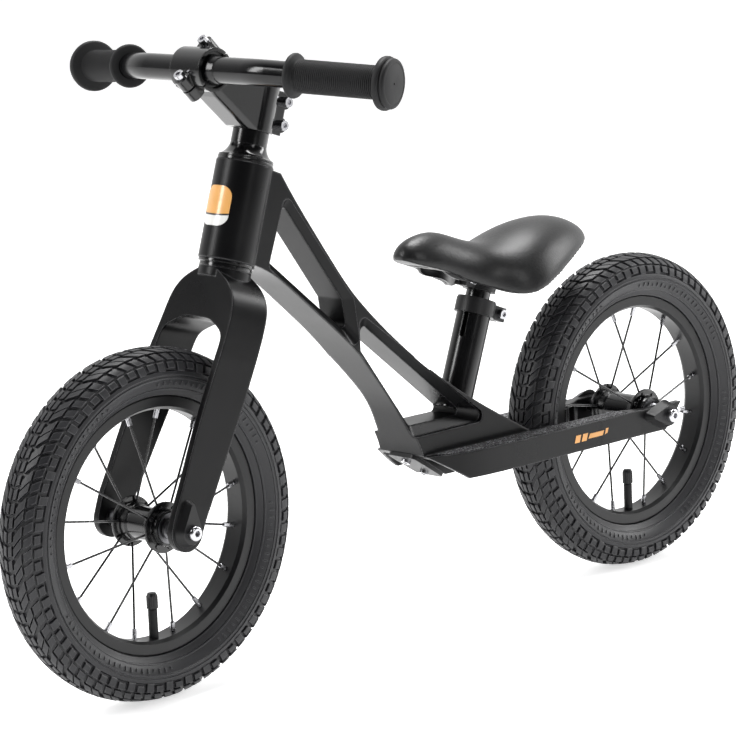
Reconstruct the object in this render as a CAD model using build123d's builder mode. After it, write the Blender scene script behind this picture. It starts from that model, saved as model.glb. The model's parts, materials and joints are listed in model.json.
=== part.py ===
from build123d import *
from math import cos, sin, radians, sqrt
import os

# Child's balance bike: cast frame with footrests, suspension-free fork, two spoked
# pneumatic wheels, swept handlebar on a two-bolt stem, padded saddle on a clamped post.
# Millimetres. +X is the bike's front, +Y its left, +Z up.
# The origin is on the ground, midway between the two axles.

os.makedirs("parts", exist_ok=True)

# ---------------------------------------------------------------- driving dimensions
wheel_base = 596.0            # between the two axles
tyre_radius = 148.5           # outer radius of both tyres
tyre_half_width = 23.4
bead_radius = 101.5           # bead seat of the rim
flange_radius = 108.5         # top of the rim flange
rim_inner_radius = 97.2       # inner edge of the rim, facing the hub
rim_half_width = 12.6

head_angle = 72.0             # steering axis from the ground
head_bottom = (197.3, 354.9)  # lower end of the head tube, x and z
head_length = 84.7
head_radius = 24.5

steerer_radius = 12.7
steerer_wall = 2.2
cover_height = 12.4           # headset cone, above its foot
stem_length = 40.0            # stem barrel, along the steerer

seat_tube_foot = (-72.0, 202.5)
seat_tube_angle = 69.4
seat_tube_radius = 15.5
seat_tube_top = 83.0
seat_tube_bottom = -17.0
seatpost_radius = 11.1

bar_reach = 68.0              # bar centre ahead of the steering axis
bar_rise = 65.3               # bar centre above the top of the head tube, along the axis
bar_radius = 11.1
bar_centre_radius = 12.7
bar_bend = 70.6               # the bends start this far from the middle
bar_sweep = 18.1
bar_drop = 3.7

stay_top = 157.0
stay_bottom = 133.5
stay_outer = 48.0             # outside face of the footrest stays
stay_inner = 27.5             # inner edge of the footrest, beside the rear tyre

axle_radius = 4.8
running_gap = 0.05            # radial play of a turning fit
side_gap = 0.3                # play between faces that move past each other
push_gap = 0.08               # radial play of the sliding seatpost

# ---------------------------------------------------------------- shared frames
half_base = wheel_base / 2
front_axle_x = half_base
rear_axle_x = -half_base

head_tilt = radians(head_angle)
axis_dir = Vector(-cos(head_tilt), 0, sin(head_tilt))
axis_fwd = Vector(sin(head_tilt), 0, cos(head_tilt))
head_foot = Vector(head_bottom[0], 0, head_bottom[1])

# heights along the steering axis, from the head tube's lower end
bar_height = head_length + bar_rise
stem_top = bar_height + 2.0
stem_bottom = stem_top - stem_length
steerer_top = stem_top - 2.0

# front axle in the steering frame, from the head tube's lower end
axle_from_head = Vector(front_axle_x, 0, tyre_radius) - head_foot
axle_drop = axle_from_head.dot(axis_dir)
fork_rake = axle_from_head.dot(axis_fwd)

# steering frame: local x forward, local y left, local z up the steering axis
steer_plane = Plane(origin=head_foot, x_dir=axis_fwd, z_dir=axis_dir)
steer_place = steer_plane.location

seat_tilt = radians(seat_tube_angle)
seat_dir = Vector(-cos(seat_tilt), 0, sin(seat_tilt))
seat_fwd = Vector(sin(seat_tilt), 0, cos(seat_tilt))
seat_foot = Vector(seat_tube_foot[0], 0, seat_tube_foot[1])
seat_plane = Plane(origin=seat_foot, x_dir=seat_fwd, z_dir=seat_dir)
seat_place = seat_plane.location

# wheel frame: local z is the axle, pointing to the bike's right
front_wheel_plane = Plane(origin=(front_axle_x, 0, tyre_radius), x_dir=(1, 0, 0), z_dir=(0, -1, 0))
rear_wheel_plane = Plane(origin=(rear_axle_x, 0, tyre_radius), x_dir=(1, 0, 0), z_dir=(0, -1, 0))
wheel_places = {"front": front_wheel_plane.location, "rear": rear_wheel_plane.location}


def save(piece, node):
    piece.label = node
    export_step(piece, f"parts/{node}.step")


def save_both(piece, name):
    for end, place in wheel_places.items():
        save(piece.moved(place), f"{end}_{name}")


def save_pair(piece, name):
    """Left-hand piece as built, and its mirror image on the right."""
    save(piece, f"left_{name}")
    save(mirror(piece, about=Plane.XZ), f"right_{name}")


def save_twins(piece, node):
    """Left-hand piece and its mirror image as two solids of one node."""
    save(Compound(children=[piece, mirror(piece, about=Plane.XZ)]), node)


# ================================================================ wheels
tyre_wall = 3.2
bead_inner_y = 7.6
bead_outer_y = 10.4
tread_thickness = 4.8
tread_groove = 2.2

with BuildPart() as tyre:
    with BuildSketch(Plane.XZ):
        with BuildLine():
            Polyline(
                (bead_radius + 0.3, bead_inner_y),
                (bead_radius + 0.3, bead_outer_y),
                (flange_radius + 0.4, bead_outer_y),
                (flange_radius + 1.0, rim_half_width + 0.6),
            )
            Spline(
                (flange_radius + 1.0, rim_half_width + 0.6),
                (117.0, 19.6),
                (127.5, tyre_half_width),
                (140.0, 20.6),
                (146.6, 11.0),
                (tyre_radius, 0),
                tangents=((1, 0.9), (0, -1)),
            )
            Line((tyre_radius, 0), (tyre_radius - tread_thickness, 0))
            Spline(
                (tyre_radius - tread_thickness, 0),
                (141.9, 8.6),
                (136.6, 15.8),
                (126.5, tyre_half_width - tyre_wall),
                (116.0, 15.6),
                (110.0, 9.2),
                tangents=((0, 1), (-0.6, -0.5)),
            )
            Line((110.0, 9.2), (bead_radius + 0.3, bead_inner_y))
        make_face()
        mirror(about=Plane.XZ)
    revolve(axis=Axis.Z)
    # rain grooves that part the tread into ribs
    for groove_y in (6.2, 13.6):
        with BuildSketch(Plane.XZ):
            for side in (1, -1):
                with Locations((tyre_radius - 0.5 * tread_groove - 0.055 * groove_y, side * groove_y)):
                    Rectangle(tread_groove + 2, 1.4)
        revolve(axis=Axis.Z, mode=Mode.SUBTRACT)

save_both(tyre.part, "tyre")

tube_wall = 1.4
tube_foot = bead_radius + 1.8
with BuildPart() as inner_tube:
    with BuildSketch(Plane.XZ):
        with BuildLine():
            Line((tube_foot, 0), (tube_foot, 5.4))
            Spline(
                (tube_foot, 5.4),
                (109.8, 6.7),
                (116.4, 12.6),
                (126.5, 18.5),
                (135.7, 14.1),
                (140.6, 7.6),
                (142.8, 0),
                tangents=((0.4, 1), (0, -1)),
            )
            Line((142.8, 0), (tube_foot, 0))
        make_face()
        mirror(about=Plane.XZ)
    revolve(axis=Axis.Z)
    # air space
    with BuildSketch(Plane.XZ):
        with BuildLine():
            Line((tube_foot + tube_wall, 0), (tube_foot + tube_wall, 4.4))
            Spline(
                (tube_foot + tube_wall, 4.4),
                (110.8, 5.5),
                (117.2, 11.1),
                (126.5, 18.5 - tube_wall),
                (134.9, 12.8),
                (139.3, 6.9),
                (142.8 - tube_wall, 0),
                tangents=((0.4, 1), (0, -1)),
            )
            Line((142.8 - tube_wall, 0), (tube_foot + tube_wall, 0))
        make_face()
        mirror(about=Plane.XZ)
    revolve(axis=Axis.Z, mode=Mode.SUBTRACT)

# valve: rubber-covered stem through the rim, straight down from the axle
valve_radius = 4.0
valve_tip = 63.0              # distance of the stem's threaded tip from the axle
valve_root = tube_foot + tube_wall
with BuildPart() as valve:
    with BuildSketch(Plane.XY):
        with BuildLine():
            Polyline(
                (0, -valve_root - 1.5),
                (valve_radius + 0.3, -valve_root - 1.5),
                (valve_radius + 0.3, -valve_root - 0.1),
                (valve_radius, -valve_root - 0.1),
                (valve_radius, -73.0),
                (valve_radius - 0.8, -72.0),
                (2.6, -72.0),
                (2.6, -valve_tip),
                (0, -valve_tip),
                close=True,
            )
        make_face()
    revolve(axis=Axis.Y)
with BuildPart() as valve_cap:
    with BuildSketch(Plane.XY):
        with BuildLine():
            Polyline(
                (2.75, -71.7),
                (4.9, -71.7),
                (4.9, -61.5),
                (3.6, -58.6),
                (0, -58.0),
                (0, -valve_tip + 0.6),
                (2.75, -valve_tip + 0.6),
                close=True,
            )
        make_face()
    revolve(axis=Axis.Y)
    # knurled grip flutes
    with BuildSketch(Plane.XZ.offset(59.5)):
        with PolarLocations(5.1, 12):
            Circle(0.5)
    extrude(amount=12.2, mode=Mode.SUBTRACT)

# the valve leaves the tube's wall through its own hole
with BuildPart() as valve_hole:
    with BuildSketch(Plane.XZ.offset(50)):
        Circle(valve_radius + 0.15)
    extrude(amount=60)
with BuildPart() as tube_body:
    add(inner_tube.part)
    with BuildSketch(Plane.XZ.offset(100)):
        Circle(valve_radius + 0.05)
    extrude(amount=8, mode=Mode.SUBTRACT)
save_both(tube_body.part, "inner_tube")

# ---------------------------------------------------------------- rim, spokes, nipples
spoke_count = 16
spoke_radius = 1.0
hub_hole_radius = 17.5
hub_hole_play = 0.15
nipple_radius = 2.1
nipple_reach = 9.0            # nipple barrel showing inside the rim
nipple_head = 2.8
nipple_seat = 0.75            # the leaning head clears the rim bed at its lower edge
rim_spoke_y = 2.6
rim_bed = 99.4

with BuildPart() as rim:
    with BuildSketch(Plane.XZ):
        with BuildLine():
            Polyline(
                (rim_inner_radius, 0),
                (rim_inner_radius, 9.0),
                (99.6, rim_half_width),
                (flange_radius - 0.8, rim_half_width),
                (flange_radius, rim_half_width - 0.6),
                (flange_radius - 0.6, rim_half_width - 1.6),
                (bead_radius + 0.3, rim_half_width - 1.8),
                (bead_radius, rim_half_width - 2.4),
                (bead_radius, 7.4),
                (rim_bed, 5.8),
                (rim_bed, 0),
                close=True,
            )
        make_face()
        mirror(about=Plane.XZ)
    revolve(axis=Axis.Z)
    add(valve_hole.part, mode=Mode.SUBTRACT)

tape_radius = bead_radius + 0.5
with BuildPart() as rim_tape:
    with BuildSketch(Plane.XZ):
        with Locations((tape_radius + 0.5, 0)):
            Rectangle(1.0, 14.4)
    revolve(axis=Axis.Z)
    add(valve_hole.part, mode=Mode.SUBTRACT)
save_both(rim_tape.part, "rim_tape")


def spoke_path(flange_y):
    """Radius and offset of the elbow and of the rim end, in the plane of one spoke."""
    elbow = (hub_hole_radius, flange_y - 3.2)
    run = (rim_inner_radius, rim_spoke_y)
    return elbow, run


def hub_pieces(flange_y, shell_half, barrel_radius):
    """Hub shell, bearings, spokes and nipples for one hub width."""
    flange_half = 1.3
    with BuildPart() as hub:
        with BuildSketch(Plane.XZ):
            with BuildLine():
                Polyline(
                    (11.0, 0),
                    (barrel_radius - 1.2, 0),
                    (barrel_radius - 1.2, flange_y - 10.0),
                    (barrel_radius, flange_y - 8.5),
                    (barrel_radius + 0.8, flange_y - flange_half - 1.2),
                    (barrel_radius + 2.0, flange_y - flange_half),
                    (21.0, flange_y - flange_half),
                    (21.5, flange_y - flange_half + 0.5),
                    (21.5, flange_y + flange_half - 0.5),
                    (21.0, flange_y + flange_half),
                    (15.6, flange_y + flange_half),
                    (15.6, shell_half - 1.8),
                    (14.8, shell_half),
                    (bearing_radius, shell_half),
                    (bearing_radius, shell_half - 9.0),
                    (11.0, shell_half - 9.0),
                    close=True,
                )
            make_face()
            mirror(about=Plane.XZ)
        revolve(axis=Axis.Z)
        # spoke holes, eight to a flange, the two flanges staggered
        for side in (1, -1):
            with BuildSketch(Plane.XY.offset(side * flange_y - 2.5)):
                with PolarLocations(hub_hole_radius, 8, start_angle=side * 11.25 - 90):
                    Circle(spoke_radius + hub_hole_play)
            extrude(amount=5, mode=Mode.SUBTRACT)

    with BuildPart() as bearings:
        for side in (1, -1):
            with BuildSketch(Plane.XY.offset(side * (shell_half - 5.0) - 4.0)):
                Circle(bearing_radius)
                Circle(axle_radius + running_gap, mode=Mode.SUBTRACT)
            extrude(amount=8.0)
            # shallow shield rings on both faces
            for face in (-4.0, 3.6):
                with BuildSketch(Plane.XY.offset(side * (shell_half - 5.0) + face)):
                    Circle(10.6)
                    Circle(7.2, mode=Mode.SUBTRACT)
                extrude(amount=0.4, mode=Mode.SUBTRACT)

    elbow, run = spoke_path(flange_y)
    rise = run[0] - elbow[0]
    lean = run[1] - elbow[1]
    length = sqrt(rise * rise + lean * lean)
    along = (rise / length, lean / length)
    with BuildPart() as spoke:
        with BuildLine():
            FilletPolyline(
                (hub_hole_radius, 0, flange_y + flange_half + 0.6),
                (elbow[0], 0, elbow[1]),
                (run[0] + along[0] * 1.5, 0, run[1] + along[1] * 1.5),
                radius=1.9,
            )
        with BuildSketch(Plane.XY.offset(flange_y + flange_half + 0.6)):
            with Locations((hub_hole_radius, 0)):
                Circle(spoke_radius)
        sweep()
        with BuildSketch(Plane.XY.offset(flange_y + flange_half)):
            with Locations((hub_hole_radius, 0)):
                Circle(1.9)
        extrude(amount=1.1, taper=20)

    nipple_plane = Plane(
        origin=(run[0], 0, run[1]), x_dir=(0, 1, 0), z_dir=(along[0], 0, along[1])
    )
    with BuildPart() as nipple:
        with BuildSketch(nipple_plane.offset(-nipple_reach)):
            Circle(nipple_radius)
            Circle(spoke_radius + 0.05, mode=Mode.SUBTRACT)
        extrude(amount=nipple_reach + rim_bed - rim_inner_radius + nipple_seat + 0.5)
        with BuildSketch(nipple_plane.offset(rim_bed - rim_inner_radius + nipple_seat)):
            Circle(nipple_head)
            Circle(spoke_radius + 0.05, mode=Mode.SUBTRACT)
        extrude(amount=1.0)
        # flats for the spoke key
        for side in (1, -1):
            with BuildSketch(nipple_plane.offset(-nipple_reach)):
                with Locations((0, side * (nipple_radius + 0.5))):
                    Rectangle(6, 1.8)
            extrude(amount=5.5, mode=Mode.SUBTRACT)

    with BuildPart() as nipple_bore:
        with BuildSketch(nipple_plane.offset(-4)):
            Circle(nipple_radius + 0.1)
        extrude(amount=10)

    def ring(piece):
        near = []
        for number in range(spoke_count):
            turn = -90 + 11.25 + 22.5 * number
            flip = number % 2 == 1
            item = piece
            if flip:
                item = mirror(item, about=Plane.XY)
            near.append(item.moved(Location((0, 0, 0), (0, 0, turn))))
        return near

    return hub.part, bearings.part, ring(spoke.part), ring(nipple.part), ring(nipple_bore.part)


bearing_radius = 13.0
front_flange_y = 20.5
rear_flange_y = 24.0
front_shell_half = 28.0
rear_shell_half = 32.0
hub_sizes = {
    "front": (front_flange_y, front_shell_half, 15.5),
    "rear": (rear_flange_y, rear_shell_half, 15.5),
}
for end, place in wheel_places.items():
    hub_body, bearing_set, spoke_set, nipple_set, bore_set = hub_pieces(*hub_sizes[end])
    save(hub_body.moved(place), f"{end}_hub")
    save(bearing_set.moved(place), f"{end}_hub_bearings")
    save(Compound(children=spoke_set).moved(place), f"{end}_spokes")
    save(Compound(children=nipple_set).moved(place), f"{end}_spoke_nipples")
    with BuildPart() as drilled_rim:
        add(rim.part)
        for bore in bore_set:
            add(bore, mode=Mode.SUBTRACT)
    save(drilled_rim.part.moved(place), f"{end}_rim")
save_both(valve.part, "valve")
save_both(valve_cap.part, "valve_cap")


# ================================================================ fork and headset
# The pieces here are drawn in the steering frame: x forward, y left, z up the axis.
crown_top = -6.5
crown_bottom = -50.0
crown_half_depth = 19.4
leg_thickness = 6.0
leg_outer = 50.0              # outside face of the fork legs at the axle
leg_inner = leg_outer - leg_thickness
dropout_radius = 17.0
front_cap_height = 7.0
rear_cap_height = 9.0

with BuildPart() as fork:
    # arch seen from the front
    with BuildSketch(Plane.YZ):
        with BuildLine():
            Spline(
                (0, crown_top),
                (16.0, crown_top - 4.6),
                (29.5, crown_top - 13.6),
                (38.5, crown_top - 27.0),
                (41.8, crown_top - 44.0),
                (44.3, crown_top - 74.0),
                tangents=((1, 0), (0.07, -1)),
            )
            Polyline(
                (44.3, crown_top - 74.0),
                (leg_outer, axle_drop + 22.0),
                (leg_outer, axle_drop - 30.0),
                (leg_inner, axle_drop - 30.0),
                (leg_inner, axle_drop + 22.0),
                (38.3, crown_top - 74.0),
            )
            Spline(
                (38.3, crown_top - 74.0),
                (34.0, crown_bottom - 10.6),
                (22.0, crown_bottom - 3.4),
                (0, crown_bottom),
                tangents=((-0.07, 1), (-1, 0)),
            )
            Line((0, crown_bottom), (0, crown_top))
        make_face()
        mirror(about=Plane.YZ)
    extrude(amount=fork_rake + 50.0, both=True)
    # blade seen from the side
    with BuildSketch(Plane.XZ):
        with BuildLine():
            Line((0, crown_top + 1), (crown_half_depth, crown_top + 1))
            Spline(
                (crown_half_depth, crown_top + 1),
                (crown_half_depth + 0.8, crown_bottom + 14),
                (27.8, crown_bottom - 30),
                (34.6, crown_bottom - 65),
                (40.6, crown_bottom - 100),
                (46.6, crown_bottom - 148),
                (fork_rake + dropout_radius, axle_drop),
                tangents=((0, -1), (0, -1)),
            )
            RadiusArc(
                (fork_rake + dropout_radius, axle_drop),
                (fork_rake - dropout_radius, axle_drop),
                dropout_radius,
            )
            Spline(
                (fork_rake - dropout_radius, axle_drop),
                (10.6, crown_bottom - 148),
                (0.6, crown_bottom - 100),
                (-7.0, crown_bottom - 65),
                (-13.6, crown_bottom - 30),
                (-crown_half_depth - 0.4, crown_bottom + 14),
                (-crown_half_depth, crown_top + 1),
                tangents=((0, 1), (0, 1)),
            )
            Line((-crown_half_depth, crown_top + 1), (0, crown_top + 1))
        make_face()
    extrude(amount=80, both=True, mode=Mode.INTERSECT)
    # round boss under the lower race
    with BuildSketch(Plane.XY.offset(crown_top - 8)):
        Circle(22.5)
    extrude(amount=8)
    with BuildSketch(Plane.XY.offset(crown_top - 30)):
        Circle(steerer_radius)
    extrude(amount=31, mode=Mode.SUBTRACT)
    # axle holes
    with BuildSketch(Plane.XZ.offset(-80)):
        with Locations((fork_rake, axle_drop)):
            Circle(axle_radius)
    extrude(amount=160, mode=Mode.SUBTRACT)
save(fork.part.moved(steer_place), "fork")

with BuildPart() as steerer:
    with BuildSketch(Plane.XY.offset(crown_top - 30)):
        Circle(steerer_radius)
        Circle(steerer_radius - steerer_wall, mode=Mode.SUBTRACT)
    extrude(amount=steerer_top - crown_top + 30)
save(steerer.part.moved(steer_place), "steerer_tube")

cup_insert_radius = 20.5
cup_bore = 15.0
headset_bearing_radius = 19.0
headset_bearing_height = 6.8


def turned(points):
    """A ring turned about the local z axis from its half section."""
    with BuildPart() as ring_part:
        with BuildSketch(Plane.XZ):
            with BuildLine():
                Polyline(*points, close=True)
            make_face()
        revolve(axis=Axis.Z)
    return ring_part.part


cup_points = (
    (headset_bearing_radius, -2.6),
    (head_radius - 0.6, -2.6),
    (head_radius - 0.6, 0),
    (cup_insert_radius, 0),
    (cup_insert_radius, 9.0),
    (cup_bore, 9.0),
    (cup_bore, 5.0),
    (headset_bearing_radius, 5.0),
)
lower_cup = turned(cup_points)
upper_cup = turned(tuple((r, head_length - z) for r, z in cup_points))
lower_bearing = turned((
    (steerer_radius + running_gap, -1.8),
    (headset_bearing_radius, -1.8),
    (headset_bearing_radius, 5.0),
    (steerer_radius + running_gap, 5.0),
))
upper_bearing = turned((
    (steerer_radius + running_gap, head_length - 5.0),
    (headset_bearing_radius, head_length - 5.0),
    (headset_bearing_radius, head_length + 1.8),
    (steerer_radius + running_gap, head_length + 1.8),
))
crown_race = turned((
    (steerer_radius, crown_top),
    (22.5, crown_top),
    (22.5, -3.0),
    (headset_bearing_radius - 0.6, -3.0),
    (headset_bearing_radius - 0.6, -1.8 - side_gap),
    (steerer_radius, -1.8 - side_gap),
))
save(Compound(children=[lower_cup.moved(steer_place), upper_cup.moved(steer_place)]), "headset_cups")
bearing_pair = [lower_bearing.moved(steer_place), upper_bearing.moved(steer_place)]
save(Compound(children=bearing_pair), "headset_bearings")
save(crown_race.moved(steer_place), "crown_race")

spacer_radius = 15.5
cover_foot = head_length + 2.6 + side_gap
cover_top = cover_foot + cover_height
with BuildPart() as headset_cover:
    with BuildSketch(Plane.XZ):
        with BuildLine():
            Polyline(
                (spacer_radius, cover_top),
                (steerer_radius, cover_top),
                (steerer_radius, head_length + 1.8 + side_gap),
                (headset_bearing_radius - 0.6, head_length + 1.8 + side_gap),
                (headset_bearing_radius - 0.6, cover_foot),
                (head_radius - 0.9, cover_foot),
                (head_radius - 0.9, cover_foot + 1.6),
            )
            Spline(
                (head_radius - 0.9, cover_foot + 1.6),
                (18.4, cover_foot + 5.6),
                (spacer_radius, cover_top),
                tangents=((-1, 0.35), (-0.15, 1)),
            )
        make_face()
    revolve(axis=Axis.Z)
save(headset_cover.part.moved(steer_place), "headset_cover")

spacer = turned((
    (steerer_radius, cover_top),
    (spacer_radius, cover_top),
    (spacer_radius, stem_bottom),
    (steerer_radius, stem_bottom),
))
save(spacer.moved(steer_place), "headset_spacer")

# ---------------------------------------------------------------- front axle
axle_half = leg_outer - 1.0
bolt_thread_radius = 3.0
head_of_bolt_radius = 6.5


def axle_rod(half_length):
    with BuildPart() as rod:
        with BuildSketch(Plane.XZ.offset(-half_length)):
            Circle(axle_radius)
        extrude(amount=2 * half_length)
        for side in (1, -1):
            with BuildSketch(Plane.XZ.offset(side * half_length)):
                Circle(bolt_thread_radius)
            extrude(amount=-side * 20.0, mode=Mode.SUBTRACT)
    return rod.part


def axle_end_bolt(seat_y, tip_y, head_height):
    """Button-head bolt on the left end of an axle, hex socket in its head."""
    with BuildPart() as end_bolt:
        with BuildSketch(Plane.XZ.offset(-seat_y)):
            Circle(head_of_bolt_radius)
        extrude(amount=-head_height)
        fillet(end_bolt.faces().sort_by(Axis.Y)[-1].edges(), radius=2.4)
        with BuildSketch(Plane.XZ.offset(-tip_y)):
            Circle(bolt_thread_radius)
        extrude(amount=-(seat_y - tip_y))
        with BuildSketch(Plane.XZ.offset(-(seat_y + head_height))):
            RegularPolygon(2.9, 6)
        extrude(amount=3.2, mode=Mode.SUBTRACT)
    return end_bolt.part


def axle_cap(base_y, cap_height, tip, tip_turn):
    """Teardrop cover outside a dropout, its point turned tip_turn degrees from +X."""
    with BuildPart() as cover:
        for height, round_radius, tip_radius in ((0, 13.6, 4.8), (cap_height, 9.8, 1.8)):
            with BuildSketch(Plane.XZ.offset(-base_y - height)):
                Circle(round_radius)
                with Locations((tip * cos(radians(tip_turn)), tip * sin(radians(tip_turn)))):
                    Circle(tip_radius)
                make_hull()
        loft()
        with BuildSketch(Plane.XZ.offset(-base_y)):
            Circle(bolt_thread_radius + 0.1)
        extrude(amount=-cap_height, mode=Mode.SUBTRACT)
    return cover.part


def locknut_spacer(inner_y, outer_y):
    """Cone and locknut between a hub and its dropout, left side."""
    with BuildPart() as nut:
        with BuildSketch(Plane.XY):
            with BuildLine():
                Polyline(
                    (axle_radius, inner_y),
                    (9.0, inner_y),
                    (9.0, inner_y + 2.2),
                    (7.6, inner_y + 3.0),
                    (7.6, outer_y),
                    (axle_radius, outer_y),
                    close=True,
                )
            make_face()
        revolve(axis=Axis.Y)
        # spanner flats
        for side in (1, -1):
            with BuildSketch(Plane.XZ.offset(-outer_y)):
                with Locations((0, side * 8.4)):
                    Rectangle(20, 2.8)
            extrude(amount=(outer_y - inner_y) * 0.5, mode=Mode.SUBTRACT)
    return nut.part


front_axle_place = Location((front_axle_x, 0, tyre_radius))
rear_axle_place = Location((rear_axle_x, 0, tyre_radius))
save(axle_rod(axle_half).moved(front_axle_place), "front_axle")
front_bolt = axle_end_bolt(leg_outer + front_cap_height, leg_outer - 15.0, 5.2)
save_twins(front_bolt.moved(front_axle_place), "front_axle_bolts")
front_cap = axle_cap(leg_outer, front_cap_height, 22.0, 180 - head_angle - 14)
save_twins(front_cap.moved(front_axle_place), "front_axle_caps")
front_nut = locknut_spacer(front_shell_half + side_gap, leg_inner)
save_twins(front_nut.moved(front_axle_place), "front_locknuts")


# ================================================================ stem and handlebar
# The faceplate parts from the stem on a plane tilted in the steering frame.
plate_tilt = radians(28.5)
clamp_normal = Vector(cos(plate_tilt), 0, sin(plate_tilt))
clamp_up = Vector(-sin(plate_tilt), 0, cos(plate_tilt))
clamp_plane = Plane(origin=(bar_reach, 0, bar_height), x_dir=clamp_up, z_dir=clamp_normal)
clamp_radius = 18.5
clamp_half_width = 18.0
clamp_bolt_offset = 19.2
clamp_lug = 11.5
clamp_split = 0.8
barrel_radius = 17.5
m5_radius = 2.5
m5_head = 4.3
pinch_bolt_x = -24.0
pinch_bolt_heights = (stem_bottom + 10.5, stem_bottom + 30.5)
lug_half = 9.0

with BuildPart() as bar_clamp:
    with BuildSketch(Plane.XZ.offset(-clamp_half_width)):
        with Locations((bar_reach, bar_height)):
            Circle(clamp_radius)
    extrude(amount=2 * clamp_half_width)
    with BuildSketch(clamp_plane.offset(-clamp_lug)):
        with Locations((clamp_bolt_offset, 0)):
            Circle(6.6)
        with Locations((-clamp_bolt_offset, 0)):
            Circle(6.6)
        Rectangle(2 * clamp_bolt_offset, 13.2)
    extrude(amount=2 * clamp_lug)

with BuildPart() as bar_bore:
    with BuildSketch(Plane.XZ.offset(-40)):
        with Locations((bar_reach, bar_height)):
            Circle(bar_centre_radius)
    extrude(amount=80)
    for side in (1, -1):
        with BuildSketch(Plane.XZ.offset(side * (clamp_half_width - 3.5))):
            with Locations((bar_reach, bar_height)):
                Circle(bar_centre_radius + 2.6)
        extrude(amount=side * 10.0)
    # bolt holes
    with BuildSketch(clamp_plane.offset(-clamp_lug + 1.5)):
        with Locations((clamp_bolt_offset, 0), (-clamp_bolt_offset, 0)):
            Circle(m5_radius + 0.05)
    extrude(amount=2 * clamp_lug)

# arm rising forward to the bar clamp, its long edges well rounded
arm_half = 15.5
with BuildPart() as stem_arm:
    with BuildSketch(Plane.XZ):
        with BuildLine():
            Polyline(
                (0, stem_bottom),
                (14.0, stem_bottom),
                (20.0, stem_bottom + 0.6),
                (56.0, bar_height - 20.5),
                (62.0, bar_height - 17.0),
                (60.0, bar_height + 12.0),
                (50.0, bar_height + 8.0),
                (12.0, stem_top - 1.0),
                (0, stem_top),
                close=True,
            )
        make_face()
    extrude(amount=arm_half, both=True)
    long_edges = stem_arm.edges().filter_by(Axis.Y, reverse=True).filter_by(lambda e: e.length > 30)
    under_bar = [edge for edge in long_edges if edge.center().Z < bar_height - 10]
    fillet([edge for edge in under_bar if edge.center().X > 10], radius=6.0)

with BuildPart() as stem:
    with BuildSketch(Plane.XY.offset(stem_bottom)):
        Circle(barrel_radius)
    extrude(amount=stem_top - stem_bottom)
    add(stem_arm.part)
    add(bar_clamp.part)
    with BuildSketch(clamp_plane.offset(-clamp_split)):
        Rectangle(140, 90)
    extrude(amount=60, mode=Mode.SUBTRACT)
    add(bar_bore.part, mode=Mode.SUBTRACT)
    # rear ears of the steerer clamp, one lobe round each pinch bolt
    with BuildSketch(Plane.XZ.offset(-lug_half)):
        for height in pinch_bolt_heights:
            with Locations((pinch_bolt_x, height)):
                Circle(6.4)
        with Locations((-17.0, 0.5 * (stem_bottom + stem_top))):
            Rectangle(16.0, stem_top - stem_bottom - 3.0)
    extrude(amount=2 * lug_half)
    with BuildSketch(Plane.XY.offset(stem_bottom - 1)):
        Circle(steerer_radius)
    extrude(amount=stem_top - stem_bottom + 30, mode=Mode.SUBTRACT)
    with BuildSketch(Plane.XY.offset(stem_bottom - 1)):
        with Locations((-24.0, 0)):
            Rectangle(26.0, 2.0)
    extrude(amount=stem_top - stem_bottom + 2, mode=Mode.SUBTRACT)
    with BuildSketch(Plane.XZ.offset(-lug_half - 1)):
        for height in pinch_bolt_heights:
            with Locations((pinch_bolt_x, height)):
                Circle(m5_radius + 0.05)
    extrude(amount=2 * lug_half + 2, mode=Mode.SUBTRACT)
save(stem.part.moved(steer_place), "stem")

with BuildPart() as faceplate:
    add(bar_clamp.part)
    with BuildSketch(clamp_plane.offset(clamp_split)):
        Rectangle(140, 90)
    extrude(amount=-60, mode=Mode.SUBTRACT)
    add(bar_bore.part, mode=Mode.SUBTRACT)
save(faceplate.part.moved(steer_place), "stem_faceplate")


def socket_bolt(plane, shank_radius, head_radius_, head_height, shank):
    """Socket-head screw whose head sits on the plane, shank running against its normal."""
    with BuildPart() as screw:
        with BuildSketch(plane):
            Circle(head_radius_)
        extrude(amount=head_height)
        with BuildSketch(plane):
            Circle(shank_radius)
        extrude(amount=-shank)
        with BuildSketch(plane.offset(head_height)):
            RegularPolygon(head_radius_ * 0.56, 6)
        extrude(amount=-head_height * 0.6, mode=Mode.SUBTRACT)
    return screw.part


plate_bolts = []
for offset_x in (clamp_bolt_offset, -clamp_bolt_offset):
    seat_point = clamp_plane.from_local_coords((offset_x, 0, clamp_lug))
    bolt_plane = Plane(origin=seat_point, x_dir=clamp_up, z_dir=clamp_normal)
    plate_bolts.append(socket_bolt(bolt_plane, m5_radius, m5_head, 5.0, 20.0).moved(steer_place))
save(Compound(children=plate_bolts), "faceplate_bolts")

pinch_bolts = []
for height in pinch_bolt_heights:
    bolt_plane = Plane(origin=(pinch_bolt_x, lug_half, height), x_dir=(1, 0, 0), z_dir=(0, 1, 0))
    pinch_bolts.append(socket_bolt(bolt_plane, m5_radius, m5_head, 5.0, 16.5).moved(steer_place))
save(Compound(children=pinch_bolts), "stem_clamp_bolts")

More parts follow.
